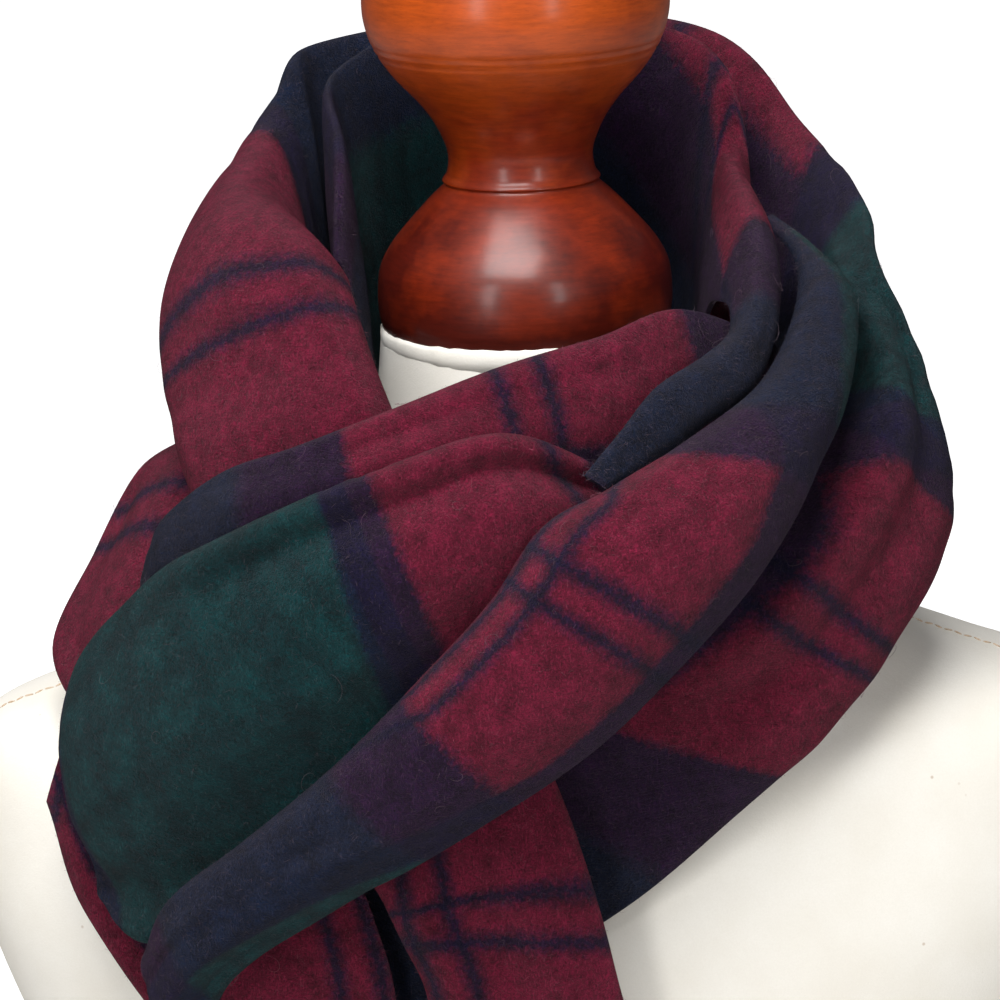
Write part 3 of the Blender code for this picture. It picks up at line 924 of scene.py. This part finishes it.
def loop_cowl() -> ClothStretch:
    """The loop's pouch."""
    check = records(CheckPlace, [
        (0, 14, 66, -18, -2), (2, 16, 66, 58, 72), (2.3, 40, 90, 70, 86), (2.8, 100, 160, 103, 112),
        (3.4, 112, 200, 120, 128), (5.2, 112, 205, 166, 170), (6.3, 108, 200, 200, 202),
        (7, 100, 190, 236, 236),
    ])
    creases = records(Crease, [
        (0.10, 0.14, -0.35, 5.25, 5.0, 0.09), (0.28, 0.24, -0.35, 4.2, -5.0, 0.08),
        (0.40, 0.50, 0.0, 7.35, 8.0, 0.18), (0.80, 0.70, 3.85, 7.35, -3.0, 0.08),
        (0.52, 0.62, 1.5, 5.5, 1.6, 0.04), (0.66, 0.58, 2.0, 6.5, -1.5, 0.05),
        (0.90, 0.84, 5.6, 7.3, 2.4, 0.05),
    ])
    return ClothStretch("scarf_cowl", COWL, check, (0.13, 0.28), ("cowl",), "green_wool",
                        ("scarf_band",), 150, 64, 53, creases, nap=4200, curls=14)


def under_tail() -> ClothStretch:
    """The second tail, behind the one that shows."""
    check = records(CheckPlace, [
        (0, -66, -40, -110, -110), (1.5, -66, -30, -72, -66), (3.6, -66, -14, -4, 8),
        (5.6, -66, -12, 66, 74), (7.5, -66, 10, 233, 233), (9, -66, 12, 290, 290), (11, -80, 30, 400, 400),
    ])
    creases = records(Crease, [
        (0.30, 0.40, 2.75, 6.05, -4.0, 0.10), (0.34, 0.30, 6.8, 12.1, 2.2, 0.12),
        (0.60, 0.52, 2.5, 5.8, 1.8, 0.07),
    ])
    return ClothStretch("scarf_under_tail", TAIL_UNDER, check, (0.085, 0.44), ("tail_under",), "wine_wool",
                        ("torso",), 150, 50, 61, creases, nap=3200, curls=10)


@dataclass
class DressForm:
    """The cream form: its smooth cover, shoulder seams and the gathered round under the neck cap."""

    sides: int = 160
    rings: int = 130
    seam_stitches: int = 92
    stitch_reach: float = 0.35
    stitch_sway: float = 0.5
    thread_radius: float = 0.34
    seam_front: float = -7.0
    seam_top: float = 556.0
    seam_foot: float = 464.0
    frill_points: int = 150
    frill_stand: float = 0.55
    frill_wall: float = 0.5

    def levels(self, count: int) -> np.ndarray:
        """Height, half width, front and back depth at evenly counted places up the form."""
        rows = np.array([(v.z, v.half_width, v.front, v.back) for v in TORSO])
        return curve_values(rows, np.linspace(0, len(TORSO) - 1, count))

    def body(self, jersey: bpy.types.Material) -> bpy.types.Object:
        """The cover, from the flat base to the top of the neck."""
        maker = bmesh.new()
        loops = []
        for z, wide, front, back in self.levels(self.rings):
            ring = []
            for k in range(self.sides):
                angle = 2 * math.pi * k / self.sides
                depth = front if math.sin(angle) < 0 else back
                spot = Vector((wide * math.cos(angle), depth * math.sin(angle), z)) * MM
                ring.append(maker.verts.new(spot))
            loops.append(ring)
        for lower, upper in zip(loops, loops[1:]):
            for k in range(self.sides):
                j = (k + 1) % self.sides
                maker.faces.new((lower[k], lower[j], upper[j], upper[k]))
        maker.faces.new(reversed(loops[0]))
        maker.faces.new(loops[-1])
        made = new_object("form_cover", mesh_from(maker, "form_cover"), jersey)
        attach(made, BODY)
        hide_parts("torso")
        return made

    def seam_point(self, side: int, share: float, offset: float = 0.0) -> Vector:
        """A point of a shoulder seam.

        Args:
            side: 1 on the right, -1 on the left.
            share: How far out from the neck.
            offset: Millimetres the point stands off to the front.

        Returns:
            The point in millimetres, on the cover.
        """
        height = float(self.seam_top - (self.seam_top - self.seam_foot) * eased(np.array(share)) ** 0.72)
        smooth = self.levels(600)
        wide, front = (float(np.interp(height, smooth[:, 0], smooth[:, k])) for k in (1, 2))
        y = self.seam_front + offset
        x = wide * math.sqrt(max(1 - (y / front) ** 2, 0.0))
        return Vector((side * x, y, height))

    def seams(self, thread: bpy.types.Material) -> list[bpy.types.Object]:
        """The stitched shoulder seams.

        Args:
            thread: The stitches' material.

        Returns:
            One piece a side.
        """
        made = []
        for side, label in ((1, "right"), (-1, "left")):
            maker = bmesh.new()
            for k in range(self.seam_stitches):
                share = (k + 0.5) / self.seam_stitches
                reach = self.stitch_reach / self.seam_stitches
                sway = self.stitch_sway if k % 2 else -self.stitch_sway
                start = self.seam_point(side, share - reach, sway)
                end = self.seam_point(side, share + reach, -sway)
                way = end - start
                turn = way.to_track_quat("Z", "Y").to_matrix().to_4x4()
                centre = (start + end) / 2 + Vector((0, 0, 0.25))
                size = Matrix.Diagonal((self.thread_radius, self.thread_radius, way.length / 2 + 0.3, 1))
                place = Matrix.Scale(MM, 4) @ Matrix.Translation(centre) @ turn @ size
                bmesh.ops.create_uvsphere(maker, u_segments=8, v_segments=6, radius=1, matrix=place)
            name = "shoulder_seam_" + label
            piece = new_object(name, mesh_from(maker, name), thread)
            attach(piece, BODY)
            made.append(piece)
        return made

    def frill(self, jersey: bpy.types.Material) -> bpy.types.Object:
        """The uneven edge of cloth that is gathered under the neck cap."""
        draw = random.Random(5)
        drop = [draw.uniform(-0.5, 1.3) for _ in range(self.frill_points)]
        rows = [(50.2, 612.0), (51.5, 616.5), (51.5, 619.4), (50.9, 620.7), (49.2, 620.5)]
        vertices, faces = [], []
        for k in range(self.frill_points):
            angle = 2 * math.pi * k / self.frill_points
            rough = (drop[k] + drop[k - 1] * 0.6) * 0.25
            for row, (radius, z) in enumerate(rows):
                grow = radius + self.frill_stand + rough * (0.25 + 0.25 * row if row < 3 else 0.6)
                vertices.append((grow * math.cos(angle) * MM, grow * math.sin(angle) * MM,
                                 (z + rough * (1.0 if row > 1 else 0.2)) * MM))
        count = len(rows)
        for k in range(self.frill_points):
            j = (k + 1) % self.frill_points
            for row in range(count - 1):
                faces.append((k * count + row, j * count + row, j * count + row + 1, k * count + row + 1))
        mesh = bpy.data.meshes.new("neck_gather")
        mesh.from_pydata(vertices, [], faces)
        made = new_object("neck_gather", mesh, jersey)
        wall = made.modifiers.new("wall", "SOLIDIFY")
        wall.thickness = self.frill_wall * MM
        wall.offset = 0
        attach(made, BODY)
        return made


@dataclass
class NeckCap:
    """The turned wooden cap, with its profile smoothed and fine tool rings."""

    steps: int = 128
    samples: int = 220
    ring_heights: tuple[float, float] = (98.0, 94.8)
    ring_width: float = 0.5
    ring_depth: float = 0.35

    def profile(self) -> list[tuple[float, float]]:
        """Radius and height down the outer side, in millimetres."""
        values = np.array(CAP_PROFILE[:-1], float)
        smooth = curve_values(values, np.linspace(0, len(values) - 1, self.samples))
        found = []
        for radius, height in smooth:
            for ring in self.ring_heights:
                radius -= self.ring_depth * math.exp(-((height - ring) / self.ring_width) ** 2)
            found.append((max(float(radius), 0.0), float(height)))
        found[0] = (0.0, found[0][1])
        return found + [(0.0, found[-1][1])]

    def build(self, wood: bpy.types.Material) -> bpy.types.Object:
        """The cap."""
        maker = bmesh.new()
        points = [Vector((radius, 0, NECK_TOP + CAP_GAP + height)) * MM for radius, height in self.profile()]
        line = [maker.verts.new(point) for point in points]
        edges = [maker.edges.new(pair) for pair in zip(line, line[1:])]
        bmesh.ops.spin(maker, geom=line + edges, axis=(0, 0, 1), cent=(0, 0, 0), steps=self.steps,
                       angle=2 * math.pi)
        bmesh.ops.remove_doubles(maker, verts=maker.verts, dist=0.00001)
        bmesh.ops.recalc_face_normals(maker, faces=maker.faces)
        made = new_object("neck_cap_turned", mesh_from(maker, "neck_cap_turned"), wood)
        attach(made, BODY)
        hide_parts("neck_cap")
        return made


@dataclass
class Studio:
    """The pale floor, the soft lights and the camera at the photograph's angle."""

    elevation: float = 14.0
    lean: float = 2.0
    distance: float = 1.6
    lens: float = 158.904
    target: tuple[float, float, float] = (-0.0116, 0.0, 0.555)
    lit_spot: tuple[float, float, float] = (0.0, 0.0, 0.58)
    dim_room: tuple[float, float, float, float] = (0.095, 0.095, 0.10, 1)
    floor_radius: float = 22.0
    floor_drop: float = 0.4

    def floor(self) -> bpy.types.Object:
        """The floor that the form stands on."""
        finish = PlainFinish("pale_floor", (0.80, 0.795, 0.785), (0.82, 0.816, 0.808), 3.0, 0.9, glow=1.0)
        maker = bmesh.new()
        bmesh.ops.create_circle(maker, cap_ends=True, segments=96, radius=self.floor_radius)
        made = new_object("floor", mesh_from(maker, "floor"), finish.material())
        made.location.z = -self.floor_drop * MM
        return made

    def area(self, name: str, place: tuple[float, float, float], size: tuple[float, float],
             watts: float) -> None:
        """Adds a soft box that faces the scarf.

        Args:
            name: The light's name.
            place: Where it stands, in metres.
            size: Its width and height.
            watts: Its power.
        """
        data = bpy.data.lights.new(name, "AREA")
        data.shape = "RECTANGLE"
        data.size, data.size_y = size
        data.energy = watts
        made = bpy.data.objects.new(name, data)
        made.location = place
        made.rotation_mode = "QUATERNION"
        made.rotation_quaternion = (Vector(self.lit_spot) - Vector(place)).to_track_quat("-Z", "Y")
        bpy.context.scene.collection.objects.link(made)

    def lights(self) -> None:
        """The soft boxes and the room's light."""
        self.area("soft_box_left", (-0.95, -1.75, 1.15), (0.34, 1.4), 15.0)
        self.area("soft_box_right", (0.85, -1.75, 1.15), (0.22, 1.4), 10.0)
        self.area("soft_box_above", (-0.25, -0.85, 2.2), (1.1, 0.9), 48.0)
        world = bpy.data.worlds.new("room")
        bpy.context.scene.world = world
        world.use_nodes = True
        nodes = Nodes(world.node_tree)
        backing = world.node_tree.nodes["Background"]
        seen = nodes.add("LightPath").outputs["Is Camera Ray"]
        nodes.put(backing.inputs[0], nodes.mix(seen, self.dim_room, (1, 1, 1, 1)))

    def camera(self) -> None:
        """The camera, looking down a little, with the photograph's slight lean."""
        data = bpy.data.cameras.new("camera")
        data.sensor_width = 36.0
        data.lens = self.lens
        made = bpy.data.objects.new("camera", data)
        bpy.context.scene.collection.objects.link(made)
        angle = math.radians(self.elevation)
        away = Vector((0, -math.cos(angle), math.sin(angle)))
        spot = Vector(self.target) + away * self.distance
        made.matrix_world = (Matrix.Translation(spot) @ (-away).to_track_quat("-Z", "Y").to_matrix().to_4x4()
                             @ Matrix.Rotation(-math.radians(self.lean), 4, "Z"))
        bpy.context.scene.camera = made

    def build(self) -> None:
        """Floor, lights, camera and the plain view of colours."""
        self.floor()
        self.lights()
        self.camera()
        bpy.context.scene.view_settings.view_transform = "Standard"


def main() -> None:
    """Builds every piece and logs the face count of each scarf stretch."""
    logging.basicConfig(level=logging.INFO, format="%(name)s %(message)s")
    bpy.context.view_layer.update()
    Studio().build()
    jersey = JerseyFinish().material()
    thread = PlainFinish("seam_thread", (0.50, 0.36, 0.24), (0.66, 0.54, 0.42), 900.0, 0.8).material()
    form = DressForm()
    form.body(jersey)
    form.seams(thread)
    form.frill(jersey)
    NeckCap().build(VarnishFinish().material())
    yarns = CheckYarns().group()
    wool = WoolFinish("brushed_wool_check", yarns).material()
    fibres = WoolFinish("loose_wool_fibres", yarns, paleness=0.20, bump=0.0).material()
    for stretch in (outer_layer(), inner_layer(), front_roll(), loop_band(), loop_cowl(), under_tail()):
        stretch.build(wool, fibres)


if __name__ == "__main__":
    main()
